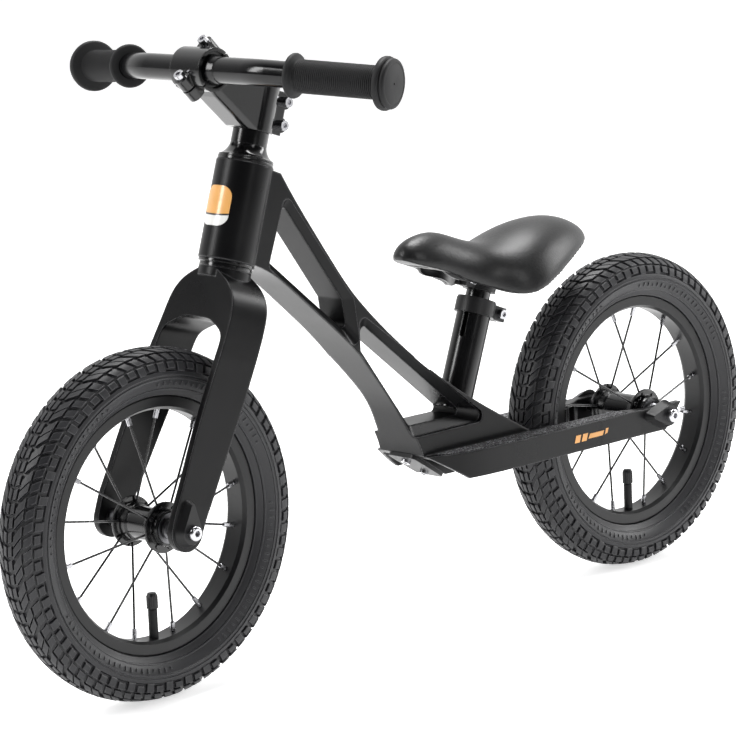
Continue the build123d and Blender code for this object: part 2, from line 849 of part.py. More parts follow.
# star nut in the steerer, cap and its bolt on top of the stem
with BuildPart() as top_cap:
    with BuildSketch(Plane.XY.offset(stem_top)):
        Circle(barrel_radius - 0.8)
    extrude(amount=3.4)
    fillet(top_cap.faces().sort_by(Axis.Z)[-1].edges(), radius=1.4)
    with BuildSketch(Plane.XY.offset(stem_top)):
        Circle(3.1)
    extrude(amount=4, mode=Mode.SUBTRACT)
save(top_cap.part.moved(steer_place), "top_cap")
top_bolt = socket_bolt(Plane.XY.offset(stem_top + 3.4), 3.0, 5.0, 3.2, 26.0)
save(top_bolt.moved(steer_place), "top_cap_bolt")
star_nut_foot = steerer_top - 22.0
with BuildPart() as star_nut:
    for height in (star_nut_foot, star_nut_foot + 6.0):
        with BuildSketch(Plane.XY.offset(height)):
            Circle(steerer_radius - steerer_wall)
            with PolarLocations(steerer_radius - steerer_wall, 8):
                Circle(1.6, mode=Mode.SUBTRACT)
            Circle(3.0, mode=Mode.SUBTRACT)
        extrude(amount=1.2)
    with BuildSketch(Plane.XY.offset(star_nut_foot)):
        Circle(4.6)
        Circle(3.0, mode=Mode.SUBTRACT)
    extrude(amount=7.2)
save(star_nut.part.moved(steer_place), "star_nut")

# handlebar, swept back and slightly down outside the bends; drawn in the bike's frame
bar_centre = steer_plane.from_local_coords((bar_reach, 0, bar_height))
sweep_angle = radians(bar_sweep)
drop_angle = radians(-bar_drop)
bar_out = Vector(
    -sin(sweep_angle) * cos(drop_angle),
    cos(sweep_angle) * cos(drop_angle),
    sin(drop_angle),
)
bar_end = 121.0               # from the bend to the end of the tube
bar_wall = 1.8
left_bend = bar_centre + Vector(0, bar_bend, 0)
left_end = left_bend + bar_out * bar_end
right_bend = bar_centre - Vector(0, bar_bend, 0)
right_end = right_bend + Vector(bar_out.X, -bar_out.Y, bar_out.Z) * bar_end
right_end_plane = Plane(origin=right_end, z_dir=(right_bend - right_end))
bar_mid_plane = Plane(origin=bar_centre, x_dir=(1, 0, 0), z_dir=(0, 1, 0))
with BuildPart() as handlebar:
    with BuildLine() as bar_line:
        FilletPolyline(right_end, right_bend, left_bend, left_end, radius=60)
    with BuildSketch(right_end_plane):
        Circle(bar_radius)
    sweep()
    with BuildSketch(bar_mid_plane.offset(-26)):
        Circle(bar_radius)
    with BuildSketch(bar_mid_plane.offset(-19)):
        Circle(bar_centre_radius)
    loft()
    with BuildSketch(bar_mid_plane.offset(26)):
        Circle(bar_radius)
    with BuildSketch(bar_mid_plane.offset(19)):
        Circle(bar_centre_radius)
    loft()
    with BuildSketch(bar_mid_plane.offset(-19)):
        Circle(bar_centre_radius)
    extrude(amount=38)
with BuildPart() as bar_hollow:
    with BuildLine():
        FilletPolyline(right_end, right_bend, left_bend, left_end, radius=60)
    with BuildSketch(right_end_plane):
        Circle(bar_radius - bar_wall)
    sweep()
with BuildPart() as bar_tube:
    add(handlebar.part)
    add(bar_hollow.part, mode=Mode.SUBTRACT)
save(bar_tube.part, "handlebar")

grip_core = 13.9
grip_start = 31.0
inner_flange_at = 33.5
outer_flange_at = 116.8
left_grip_plane = Plane(origin=left_bend, x_dir=(0, 0, 1), z_dir=bar_out)
with BuildPart() as grip:
    with BuildSketch(Plane.XZ):
        with BuildLine():
            Polyline(
                (bar_radius, grip_start),
                (17.4, grip_start),
                (18.6, grip_start + 1.4),
                (18.6, inner_flange_at + 1.4),
                (17.4, inner_flange_at + 2.8),
                (grip_core, inner_flange_at + 3.4),
                (grip_core, outer_flange_at - 3.4),
                (20.6, outer_flange_at - 3.0),
                (22.0, outer_flange_at - 1.2),
                (22.0, outer_flange_at + 1.2),
                (20.6, outer_flange_at + 3.0),
                (20.2, outer_flange_at + 3.6),
                (20.2, bar_end + 2.0),
                (18.6, bar_end + 3.4),
                (0, bar_end + 3.4),
                (0, bar_end),
                (bar_radius, bar_end),
                close=True,
            )
        make_face()
    revolve(axis=Axis.Z)
    # fine ribs round the core
    with BuildSketch(Plane.XZ):
        for number in range(19):
            with Locations((grip_core, inner_flange_at + 7.2 + 4.0 * number)):
                Rectangle(1.0, 1.6)
    revolve(axis=Axis.Z, mode=Mode.SUBTRACT)
    # vent hole in the closed end
    with BuildSketch(Plane.XY.offset(bar_end - 1)):
        Circle(1.0)
    extrude(amount=6, mode=Mode.SUBTRACT)
save_pair(grip.part.moved(left_grip_plane.location), "grip")


# ================================================================ frame casting
width_profile = (            # half width of the casting against height
    (120.0, 27.4),
    (162.0, 27.3),
    (200.0, 25.3),
    (250.0, 23.0),
    (315.0, 20.8),
    (460.0, 20.8),
)
window_depth = 7.0
window_mouth = 22.0           # half width where the bevels of the windows start
front_window_outer = ((145.5, 411.0), (170.0, 347.0), (67.5, 260.5), (70.0, 308.5))
front_window_inner = ((146.0, 400.0), (163.5, 351.5), (76.0, 277.5), (80.5, 308.0))
rear_window_outer = ((66.5, 296.0), (67.5, 259.0), (9.0, 175.5), (-88.0, 176.5))
rear_window_inner = ((59.5, 284.5), (61.0, 261.0), (5.5, 184.5), (-63.0, 184.5))
plate_thickness = 3.5
dropout_front = rear_axle_x + 24.0
leg_knee = rear_axle_x + 90.0     # the stays start to straighten here
leg_bend = rear_axle_x + 32.0
leg_end = rear_axle_x - 28.0
dropout_face = 40.0           # inside face of the rear dropouts
rear_leg_outer = 47.0
adjuster_y = 0.5 * (dropout_face + rear_leg_outer)
leg_wall = 3.5
slot_half = 27.5
slot_front = rear_axle_x + tyre_radius + 8.5
boss_half = 17.0
axle_slot = 6.0


def window_cut(outer, inner, outer_round, inner_round):
    """Bevelled opening right through the casting."""
    with BuildPart() as opening:
        for side in (1, -1):
            with BuildSketch(Plane.XZ.offset(side * 30.0)):
                with BuildLine():
                    FilletPolyline(*outer, radius=outer_round, close=True)
                make_face()
            with BuildSketch(Plane.XZ.offset(side * window_mouth)):
                with BuildLine():
                    FilletPolyline(*outer, radius=outer_round, close=True)
                make_face()
            with BuildSketch(Plane.XZ.offset(side * (window_mouth - window_depth))):
                with BuildLine():
                    FilletPolyline(*inner, radius=inner_round, close=True)
                make_face()
            loft(ruled=True)
        with BuildSketch(Plane.XZ):
            with BuildLine():
                FilletPolyline(*inner, radius=inner_round, close=True)
            make_face()
        extrude(amount=30, both=True)
    return opening.part


with BuildPart() as casting_body:
    with BuildSketch(Plane.XZ):
        with BuildLine():
            Line((171.6, 434.0), (150.0, 425.5))
            Spline(
                (150.0, 425.5),
                (140.0, 409.0),
                (119.0, 377.5),
                (97.0, 346.0),
                (75.0, 316.5),
                (40.5, 280.0),
                (-7.0, 239.0),
                (-55.0, 205.5),
                (-93.0, 182.5),
                (-136.0, 158.5),
                tangents=((-0.5, -0.86), (-0.87, -0.49)),
            )
            Polyline((-136.0, 158.5), (-138.0, 155.0), (0, 155.0))
            Spline(
                (0, 155.0),
                (9.0, 177.5),
                (22.0, 202.0),
                (45.0, 232.0),
                (79.0, 269.0),
                (124.0, 309.0),
                (169.0, 344.5),
                (198.0, 358.0),
                tangents=((0.2, 1), (0.9, 0.4)),
            )
            Line((198.0, 358.0), (171.6, 434.0))
        make_face()
    extrude(amount=40, both=True)
    with BuildSketch(Plane.YZ.offset(-160)):
        with BuildLine():
            Polyline(*[(half, z) for z, half in width_profile])
            Line((width_profile[-1][1], width_profile[-1][0]), (0, width_profile[-1][0]))
            Line((0, width_profile[-1][0]), (0, width_profile[0][0]))
            Line((0, width_profile[0][0]), (width_profile[0][1], width_profile[0][0]))
        make_face()
        mirror(about=Plane.YZ)
    extrude(amount=400, mode=Mode.INTERSECT)

with BuildPart() as head_tube:
    with BuildSketch(steer_plane):
        Circle(head_radius)
    extrude(amount=head_length)
    chamfer(head_tube.edges(), length=0.8)

with BuildPart() as footrest:
    # plan of both stays and the plate between them
    with BuildSketch(Plane.XY.offset(stay_bottom)) as footrest_plan:
        with BuildLine():
            Line((7.5, 0), (7.5, 25.0))
            Spline(
                (7.5, 25.0),
                (-11.0, 37.5),
                (-27.0, 44.6),
                (-48.0, 48.8),
                (-80.0, 50.2),
                (-130.0, 49.8),
                (leg_knee, 48.4),
                (leg_bend, rear_leg_outer),
                tangents=((-0.6, 0.8), (-1, -0.03)),
            )
            Polyline(
                (leg_bend, rear_leg_outer),
                (leg_end, rear_leg_outer),
                (leg_end, dropout_face),
                (dropout_front, dropout_face),
                (dropout_front + 14, 33.0),
                (dropout_front + 30, slot_half),
            )
            Line((dropout_front + 30, slot_half), (slot_front - 12, slot_half))
            RadiusArc((slot_front - 12, slot_half), (slot_front, slot_half - 12), 12)
            Line((slot_front, slot_half - 12), (slot_front, 0))
            Line((slot_front, 0), (7.5, 0))
        make_face()
        mirror(about=Plane.XZ)
    extrude(amount=stay_top - stay_bottom)
    # open underside: walls round the outside, plate on top
    with BuildSketch(Plane.XY.offset(stay_bottom)):
        with BuildLine():
            Line((4.0, 0), (4.0, 23.6))
            Spline(
                (4.0, 23.6),
                (-13.0, 34.3),
                (-28.4, 41.2),
                (-48.6, 45.3),
                (-80.0, 46.7),
                (-130.0, 46.3),
                (leg_knee, 44.9),
                (dropout_front + 8, rear_leg_outer - leg_wall),
                tangents=((-0.6, 0.8), (-1, -0.03)),
            )
            Polyline(
                (dropout_front + 8, rear_leg_outer - leg_wall),
                (dropout_front + 8, 20.0),
                (slot_front + 3.5, 20.0),
                (slot_front + 3.5, 0),
                (4.0, 0),
            )
        make_face()
        mirror(about=Plane.XZ)
    extrude(amount=stay_top - stay_bottom - plate_thickness, mode=Mode.SUBTRACT)
    # central boss under the foot of the frame and cross ribs
    with BuildSketch(Plane.XY.offset(stay_bottom)):
        with Locations((-22.0, 0)):
            Rectangle(52.0, 2 * boss_half)
    extrude(amount=stay_top - stay_bottom - 1)
    for rib_x in (-66.0, -90.0, -114.0):
        with BuildSketch(Plane.XY.offset(stay_bottom + 5)):
            with Locations((rib_x, 0)):
                Rectangle(3.0, 90.0)
        extrude(amount=stay_top - stay_bottom - 6)
    for rib_x in (slot_front - 19.0, leg_knee + 18.0, leg_knee - 12.0, leg_bend + 18.0):
        for side in (1, -1):
            with BuildSketch(Plane.XY.offset(stay_bottom + 5)):
                with Locations((rib_x, side * 37.5)):
                    Rectangle(3.0, 17.0)
            extrude(amount=stay_top - stay_bottom - 6)
    # rear ends cut back at a slant
    with BuildSketch(Plane.XZ):
        Polygon(
            (leg_end + 25.5, stay_bottom - 1),
            (leg_end + 1.5, stay_top + 1),
            (leg_end - 14.0, stay_top + 1),
            (leg_end - 14.0, stay_bottom - 1),
            align=None,
        )
    extrude(amount=60, both=True, mode=Mode.SUBTRACT)
    # round bosses that take the axle adjusters
    for side in (1, -1):
        with BuildSketch(Plane.YZ.offset(leg_end + 7.0)):
            with Locations((side * adjuster_y, tyre_radius)):
                Circle(3.5)
        extrude(amount=12.0)

seat_bore_length = 62.0
adjuster_radius = 2.0
# sloping underside of the boss, where the skid plate is screwed on
slope = Vector(46.0, 0, 29.1).normalized()
slope_down = Vector(slope.Z, 0, -slope.X)
skid_plane = Plane(origin=Vector(-37.0, 0, stay_bottom - 0.1), x_dir=slope, z_dir=slope_down)
skid_thickness = 3.6
skid_bolts_along = (10.0, 36.0)
with BuildPart() as frame_casting:
    add(casting_body.part)
    add(footrest.part)
    add(window_cut(front_window_outer, front_window_inner, 6.0, 4.0), mode=Mode.SUBTRACT)
    add(window_cut(rear_window_outer, rear_window_inner, 6.0, 4.0), mode=Mode.SUBTRACT)
    # underside slopes up to the front
    with BuildSketch(Plane.XZ):
        Polygon(
            (-37.0, stay_bottom - 0.1),
            (9.0, stay_bottom + 29.0),
            (9.0, stay_bottom - 1),
            (-37.0, stay_bottom - 1),
            align=None,
        )
    extrude(amount=60, both=True, mode=Mode.SUBTRACT)
    add(head_tube.part)
    # raised bead along the outer edge of the footrest
    with BuildSketch(Plane.XY.offset(stay_top)):
        with BuildLine():
            Spline(
                (-11.0, 37.5),
                (-27.0, 44.6),
                (-48.0, 48.8),
                (-80.0, 50.2),
                (-130.0, 49.8),
                (leg_knee, 48.4),
                (leg_bend, rear_leg_outer),
            )
            Line((leg_bend, rear_leg_outer), (leg_bend, rear_leg_outer - 1.4))
            Spline(
                (leg_bend, rear_leg_outer - 1.4),
                (leg_knee, 47.0),
                (-130.0, 48.4),
                (-80.0, 48.8),
                (-48.4, 47.4),
                (-27.8, 43.3),
                (-11.9, 36.3),
            )
            Line((-11.9, 36.3), (-11.0, 37.5))
        make_face()
        mirror(about=Plane.XZ)
    extrude(amount=0.7)
    # headset bore
    with BuildSketch(steer_plane.offset(-1)):
        Circle(cup_insert_radius)
    extrude(amount=head_length + 2, mode=Mode.SUBTRACT)
    # seat tube socket
    with BuildSketch(seat_plane.offset(seat_tube_bottom)):
        Circle(seat_tube_radius)
    extrude(amount=seat_bore_length, mode=Mode.SUBTRACT)
    # rear axle slots and adjuster holes
    with BuildSketch(Plane.XZ):
        with Locations((rear_axle_x, tyre_radius)):
            SlotCenterToCenter(2 * axle_slot, 2 * axle_radius)
    extrude(amount=60, both=True, mode=Mode.SUBTRACT)
    for side in (1, -1):
        with BuildSketch(Plane.YZ.offset(leg_end + 1.0)):
            with Locations((side * adjuster_y, tyre_radius)):
                Circle(adjuster_radius + 0.05)
        extrude(amount=24.0, mode=Mode.SUBTRACT)
    # screw holes for the skid plate
    with BuildSketch(skid_plane):
        with Locations(*[(along, 0) for along in skid_bolts_along]):
            Circle(m5_radius + 0.05)
    extrude(amount=-9.0, mode=Mode.SUBTRACT)
save(frame_casting.part, "frame_casting")

with BuildPart() as seat_tube:
    with BuildSketch(seat_plane.offset(seat_tube_bottom)):
        Circle(seat_tube_radius)
        Circle(seatpost_radius + push_gap, mode=Mode.SUBTRACT)
    extrude(amount=seat_tube_top - seat_tube_bottom)
    # clamping slot, open at the top and rounded at its foot, at the front left
    with BuildSketch(Plane(origin=seat_foot, x_dir=seat_dir, z_dir=seat_fwd + Vector(0, 0.35, 0))):
        with Locations((seat_tube_top - 16, 0)):
            SlotOverall(40, 4.4)
    extrude(amount=20, mode=Mode.SUBTRACT)
save(seat_tube.part, "seat_tube")

collar_foot = 70.0
collar_top = 84.5
collar_wall = 2.7
collar_radius = seat_tube_radius + collar_wall
ear_x = -(collar_radius + 4.8)
with BuildPart() as collar:
    with BuildSketch(Plane.XY.offset(collar_foot)):
        Circle(collar_radius)
        with Locations((ear_x, 0)):
            Rectangle(18.0, 17.0)
    extrude(amount=collar_top - collar_foot - 1.5)
    with BuildSketch(Plane.XY.offset(collar_top - 1.5)):
        Circle(collar_radius - 0.6)
    extrude(amount=1.5)
    with BuildSketch(Plane.XY.offset(collar_foot - 1)):
        Circle(seat_tube_radius)
        with Locations((ear_x - 2.0, 0)):
            Rectangle(24.0, 2.4)
    extrude(amount=collar_top - collar_foot - 0.5, mode=Mode.SUBTRACT)
    with BuildSketch(Plane.XY.offset(collar_top - 2)):
        Circle(seatpost_radius + 0.8)
        with Locations((ear_x - 2.0, 0)):
            Rectangle(24.0, 2.4)
    extrude(amount=4, mode=Mode.SUBTRACT)
    with BuildSketch(Plane.XZ.offset(-20)):
        with Locations((ear_x - 2.5, 0.5 * (collar_foot + collar_top) - 0.6)):
            Circle(m5_radius + 0.05)
    extrude(amount=40, mode=Mode.SUBTRACT)
save(collar.part.moved(seat_place), "seat_clamp_collar")
collar_bolt_plane = Plane(
    origin=(ear_x - 2.5, 8.5, 0.5 * (collar_foot + collar_top) - 0.6), x_dir=(1, 0, 0), z_dir=(0, 1, 0)
)
save(socket_bolt(collar_bolt_plane, m5_radius, m5_head, 4.6, 16.0).moved(seat_place), "seat_clamp_bolt")

# grip tape on the footrests
tape_height = 0.9
with BuildPart() as foot_tape:
    with BuildSketch(Plane.XY.offset(stay_top)):
        with BuildLine():
            Spline(
                (-9.0, 31.6),
                (-27.0, 41.4),
                (-48.0, 45.8),
                (-80.0, 47.4),
                (-130.0, 47.0),
                (leg_knee, 45.6),
                (leg_bend + 14.0, 44.8),
            )
            Polyline(
                (leg_bend + 14.0, 44.8),
                (leg_bend + 14.0, 37.0),
                (leg_bend + 22.0, 29.4),
                (-30.0, 29.4),
                (-9.0, 31.6),
            )
        make_face()
    extrude(amount=tape_height)
save_twins(foot_tape.part, "grip_tape")

# skid plate screwed to the sloping boss
with BuildPart() as skid_plate:
    with BuildSketch(skid_plane):
        with Locations((23.0, 0)):
            RectangleRounded(44.0, 2 * boss_half, 5.0)
    extrude(amount=skid_thickness)
    with BuildSketch(skid_plane):
        with Locations(*[(along, 0) for along in skid_bolts_along]):
            Circle(m5_radius + 0.1)
    extrude(amount=skid_thickness, mode=Mode.SUBTRACT)
save(skid_plate.part, "skid_plate")
skid_bolts = []
for bolt_x in skid_bolts_along:
    seat_point = skid_plane.from_local_coords((bolt_x, 0, skid_thickness))
    bolt_plane = Plane(origin=seat_point, x_dir=slope, z_dir=slope_down)
    skid_bolts.append(socket_bolt(bolt_plane, m5_radius, m5_head, 2.6, 11.0))
save(Compound(children=skid_bolts), "skid_plate_bolts")

# ---------------------------------------------------------------- rear axle
save(axle_rod(rear_leg_outer - 1.0).moved(rear_axle_place), "rear_axle")
rear_bolt = axle_end_bolt(rear_leg_outer + rear_cap_height, rear_leg_outer - 15.0, 6.0)
rear_nut = locknut_spacer(rear_shell_half + side_gap, dropout_face)
rear_cap = axle_cap(rear_leg_outer, rear_cap_height, 21.0, 4.0)
save_twins(rear_bolt.moved(rear_axle_place), "rear_axle_bolts")
save_twins(rear_cap.moved(rear_axle_place), "rear_axle_caps")
save_twins(rear_nut.moved(rear_axle_place), "rear_locknuts")

with BuildPart() as adjuster:
    with BuildSketch(Plane.YZ.offset(leg_end - 5.0)):
        with Locations((adjuster_y, tyre_radius)):
            Circle(adjuster_radius)
    extrude(amount=rear_axle_x - leg_end + 5.0 - axle_radius)
with BuildPart() as adjuster_nut:
    with BuildSketch(Plane.YZ.offset(leg_end + 3.8)):
        with Locations((adjuster_y, tyre_radius)):
            RegularPolygon(4.0, 6)
            Circle(adjuster_radius, mode=Mode.SUBTRACT)
    extrude(amount=3.2)
save_twins(adjuster.part, "axle_adjusters")
save_twins(adjuster_nut.part, "adjuster_nuts")

# badge on the front of the head tube: a plain rounded shield with a raised rim
badge_height = 44.0
badge_seat = steer_plane.from_local_coords((head_radius - 6, 0, badge_height))
badge_plane = Plane(origin=badge_seat, x_dir=(0, 1, 0), z_dir=axis_fwd)
with BuildPart() as badge:
    with BuildSketch(badge_plane):
        RectangleRounded(28.0, 34.0, 9.0)
    extrude(amount=12.0)
    with BuildSketch(steer_plane):
        Circle(head_radius + 0.6)
    extrude(amount=head_length, mode=Mode.INTERSECT)
    with BuildSketch(steer_plane):
        Circle(head_radius)
    extrude(amount=head_length, mode=Mode.SUBTRACT)
save(badge.part, "head_badge")


# ================================================================ saddle
# Stations along the saddle: x, half width, height of the padding's top, height of its rim.
saddle_stations = (
    (-4.5, 5.0, 334.0, 329.5),
    (-12.0, 14.0, 343.4, 326.5),
    (-26.0, 20.0, 348.4, 321.5),
    (-45.0, 23.0, 349.5, 315.0),
    (-70.0, 27.0, 342.6, 303.5),
    (-95.0, 37.0, 335.0, 294.0),
    (-112.0, 50.0, 334.0, 288.5),
    (-130.0, 55.0, 338.0, 290.5),
    (-148.0, 53.0, 343.0, 296.5),
    (-170.0, 47.0, 346.5, 304.5),
    (-192.0, 39.0, 346.5, 312.0),
    (-212.0, 29.5, 342.0, 317.0),
    (-228.0, 18.5, 334.5, 319.5),
    (-238.5, 8.0, 326.0, 319.5),
)
padding_depth = 13.0
shell_thickness = 3.0
shell_gap = 0.25              # between the padding and its shell


def saddle_dome(side_inset, top_inset, skirt, first, last):
    """Solid dome through the stations, shrunk by the insets, its sides run down past the rim."""
    with BuildPart() as dome:
        for x, half, top, rim in saddle_stations[first:last]:
            w = half - side_inset
            crest = top - top_inset
            rise = crest - rim
            with BuildSketch(Plane.YZ.offset(x)):
                with BuildLine():
                    Spline(
                        (w, rim),
                        (0.80 * w, rim + 0.62 * rise),
                        (0, crest),
                        (-0.80 * w, rim + 0.62 * rise),
                        (-w, rim),
                    )
                    if skirt > 0:
                        Polyline((-w, rim), (-w, rim - skirt), (w, rim - skirt), (w, rim))
                    else:
                        Line((-w, rim), (w, rim))
                make_face()
        loft()
    return dome.part


outer_dome = saddle_dome(0, 0, 0, 0, 14)
middle_dome = saddle_dome(padding_depth * 0.45, padding_depth, 4.0, 2, 12)
post_foot = -8.0
socket_foot = 92.0
socket_top = 114.0
socket_radius = 15.6
with BuildPart() as saddle_cover:
    add(outer_dome)
    add(middle_dome, mode=Mode.SUBTRACT)
save(saddle_cover.part, "saddle_cover")

with BuildPart() as saddle_base:
    # curved shell under the padding, open below
    for x, half, top, rim in saddle_stations[2:12]:
        w = half - padding_depth * 0.45 - shell_gap
        crest = top - padding_depth - shell_gap
        rise = crest - rim
        inner_w = w - shell_thickness
        inner_rise = rise - shell_thickness
        with BuildSketch(Plane.YZ.offset(x)):
            with BuildLine():
                Spline(
                    (w, rim),
                    (0.80 * w, rim + 0.62 * rise),
                    (0, crest),
                    (-0.80 * w, rim + 0.62 * rise),
                    (-w, rim),
                )
                Line((-w, rim), (-inner_w, rim))
                Spline(
                    (-inner_w, rim),
                    (-0.80 * inner_w, rim + 0.62 * inner_rise),
                    (0, crest - shell_thickness),
                    (0.80 * inner_w, rim + 0.62 * inner_rise),
                    (inner_w, rim),
                )
                Line((inner_w, rim), (w, rim))
            make_face()
    loft()
    # flat pad that sits on the clamp
    with BuildSketch(seat_plane.offset(socket_top)):
        Circle(socket_radius - 3.6)
    extrude(amount=7.4)
save(saddle_base.part, "saddle_base")

with BuildPart() as seatpost:
    with BuildSketch(seat_plane.offset(post_foot)):
        Circle(seatpost_radius)
        Circle(seatpost_radius - 2.2, mode=Mode.SUBTRACT)
    extrude(amount=socket_top - 2 - post_foot)
save(seatpost.part, "seatpost")

with BuildPart() as saddle_clamp:
    with BuildSketch(Plane.XY.offset(socket_foot)):
        Circle(socket_radius - 0.6)
    extrude(amount=13.0)
    with BuildSketch(Plane.XY.offset(socket_foot)):
        with Locations((18.0, 0)):
            Rectangle(15.0, 14.0)
    extrude(amount=14.0)
    with BuildSketch(Plane.XY.offset(socket_foot)):
        Circle(socket_radius - 2.1)
    extrude(amount=socket_top - socket_foot)
    with BuildSketch(Plane.XY.offset(socket_foot - 1)):
        Circle(seatpost_radius)
    extrude(amount=socket_top - socket_foot - 1, mode=Mode.SUBTRACT)
    with BuildSketch(Plane.XY.offset(socket_foot - 1)):
        with Locations((18.0, 0)):
            Rectangle(18.0, 2.2)
    extrude(amount=socket_top - socket_foot - 5, mode=Mode.SUBTRACT)
    with BuildSketch(Plane.XZ.offset(-20)):
        with Locations((20.0, socket_foot + 7)):
            Circle(m5_radius + 0.05)
    extrude(amount=40, mode=Mode.SUBTRACT)
save(saddle_clamp.part.moved(seat_place), "saddle_clamp")
saddle_bolt_plane = Plane(origin=(20.0, 7.0, socket_foot + 7), x_dir=(1, 0, 0), z_dir=(0, 1, 0))
saddle_bolt = socket_bolt(saddle_bolt_plane, m5_radius, m5_head + 0.5, 5.0, 13.5)
save(saddle_bolt.moved(seat_place), "saddle_clamp_bolt")
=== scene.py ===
import json
import math

import bmesh
import bpy
from mathutils import Matrix, Vector

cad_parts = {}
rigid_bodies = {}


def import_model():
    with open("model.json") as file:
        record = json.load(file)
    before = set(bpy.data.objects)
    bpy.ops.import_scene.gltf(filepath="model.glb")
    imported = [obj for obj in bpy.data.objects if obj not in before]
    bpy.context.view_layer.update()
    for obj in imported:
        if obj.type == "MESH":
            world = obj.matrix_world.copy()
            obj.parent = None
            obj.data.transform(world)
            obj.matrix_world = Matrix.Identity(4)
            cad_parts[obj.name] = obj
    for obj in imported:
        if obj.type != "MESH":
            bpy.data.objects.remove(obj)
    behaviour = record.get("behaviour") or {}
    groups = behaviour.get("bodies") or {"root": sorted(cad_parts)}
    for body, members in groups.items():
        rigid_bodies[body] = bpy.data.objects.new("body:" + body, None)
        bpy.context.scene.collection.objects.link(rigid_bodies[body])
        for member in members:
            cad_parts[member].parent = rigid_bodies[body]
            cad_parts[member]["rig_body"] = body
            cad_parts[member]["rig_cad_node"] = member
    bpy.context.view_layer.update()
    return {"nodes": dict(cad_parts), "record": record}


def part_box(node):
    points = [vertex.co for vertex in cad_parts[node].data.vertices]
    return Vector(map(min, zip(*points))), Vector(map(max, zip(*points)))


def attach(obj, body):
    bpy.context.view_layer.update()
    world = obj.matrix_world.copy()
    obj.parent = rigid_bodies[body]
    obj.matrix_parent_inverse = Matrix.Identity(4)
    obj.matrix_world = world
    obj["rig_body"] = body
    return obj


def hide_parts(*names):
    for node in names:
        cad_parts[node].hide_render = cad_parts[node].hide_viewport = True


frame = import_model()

nodes = frame["nodes"]
MM = 0.001


# ------------------------------------------------------------------ materials
def new_material(name):
    mat = bpy.data.materials.new(name)
    mat.use_nodes = True
    tree = mat.node_tree
    tree.nodes.clear()
    out = tree.nodes.new("ShaderNodeOutputMaterial")
    shader = tree.nodes.new("ShaderNodeBsdfPrincipled")
    tree.links.new(shader.outputs["BSDF"], out.inputs["Surface"])
    return mat, tree, shader


def noise(tree, scale, detail=3.0, roughness=0.5, stretch=None):
    place = tree.nodes.new("ShaderNodeTexCoord")
    node = tree.nodes.new("ShaderNodeTexNoise")
    node.inputs["Scale"].default_value = scale
    node.inputs["Detail"].default_value = detail
    node.inputs["Roughness"].default_value = roughness
    if stretch:
        mapping = tree.nodes.new("ShaderNodeMapping")
        mapping.inputs["Scale"].default_value = stretch
        tree.links.new(place.outputs["Object"], mapping.inputs["Vector"])
        tree.links.new(mapping.outputs["Vector"], node.inputs["Vector"])
    else:
        tree.links.new(place.outputs["Object"], node.inputs["Vector"])
    return node.outputs["Fac"]


def remap(tree, value, low, high, out_low, out_high):
    node = tree.nodes.new("ShaderNodeMapRange")
    node.inputs["From Min"].default_value = low
    node.inputs["From Max"].default_value = high
    node.inputs["To Min"].default_value = out_low
    node.inputs["To Max"].default_value = out_high
    tree.links.new(value, node.inputs["Value"])
    return node.outputs["Result"]


def mix_colour(tree, factor, first, second):
    node = tree.nodes.new("ShaderNodeMix")
    node.data_type = "RGBA"
    for slot, colour in ((6, first), (7, second)):
        if isinstance(colour, tuple):
            node.inputs[slot].default_value = (*colour, 1)
        else:
            tree.links.new(colour, node.inputs[slot])
    tree.links.new(factor, node.inputs[0])
    return node.outputs[2]


def bump(tree, height, strength, distance, normal=None):
    node = tree.nodes.new("ShaderNodeBump")
    node.inputs["Strength"].default_value = strength
    node.inputs["Distance"].default_value = distance
    tree.links.new(height, node.inputs["Height"])
    if normal:
        tree.links.new(normal, node.inputs["Normal"])
    return node.outputs["Normal"]


def edge_mask(tree, radius):
    """1 along convex and concave edges, 0 on the flats, from how far the rounded normal leans."""
    rounded = soft_edges(tree, radius)
    true = tree.nodes.new("ShaderNodeNewGeometry")
    lean = tree.nodes.new("ShaderNodeVectorMath")
    lean.operation = "DOT_PRODUCT"
    tree.links.new(rounded, lean.inputs[0])
    tree.links.new(true.outputs["Normal"], lean.inputs[1])
    return remap(tree, lean.outputs["Value"], 0.995, 0.90, 0.0, 1.0)


def soft_edges(tree, radius):
    node = tree.nodes.new("ShaderNodeBevel")
    node.samples = 4
    node.inputs["Radius"].default_value = radius
    return node.outputs["Normal"]


def paint(name, colour, rough, coat=0.0, edge=0.0008, specular=0.5, paint_edge_highlight=0.0):
    """Powder coat or paint: orange-peel grain, patchy gloss, a little dust, painted highlight along the
    edges.
    """
    mat, tree, shader = new_material(name)
    patches = noise(tree, 14.0, 4.0, 0.55)
    fine = noise(tree, 900.0, 2.0, 0.5)
    lighter = tuple(min(1.0, c * 1.5 + 0.004) for c in colour)
    dust = remap(tree, patches, 0.42, 0.75, 0.0, 0.5)
    body_colour = mix_colour(tree, dust, colour, lighter)
    if paint_edge_highlight:
        # painted highlight: lighter colour along the edges, broken into patches
        broken = remap(tree, noise(tree, 90.0, 4.0, 0.7), 0.35, 0.62, 0.35, 1.0)
        edge_highlight_mask = tree.nodes.new("ShaderNodeMath")
        edge_highlight_mask.operation = "MULTIPLY"
        tree.links.new(edge_mask(tree, 0.0009), edge_highlight_mask.inputs[0])
        tree.links.new(broken, edge_highlight_mask.inputs[1])
        body_colour = mix_colour(tree, edge_highlight_mask.outputs[0], body_colour, (paint_edge_highlight, paint_edge_highlight, paint_edge_highlight * 1.04))
    tree.links.new(body_colour, shader.inputs["Base Color"])
    gloss = remap(tree, patches, 0.3, 0.7, rough * 0.88, rough * 1.12)
    tree.links.new(gloss, shader.inputs["Roughness"])
    normal = soft_edges(tree, edge) if edge else None
    tree.links.new(bump(tree, fine, 0.35, 0.00002, normal), shader.inputs["Normal"])
    shader.inputs["Coat Weight"].default_value = coat
    shader.inputs["Coat Roughness"].default_value = 0.10
    shader.inputs["Specular IOR Level"].default_value = specular
    return mat


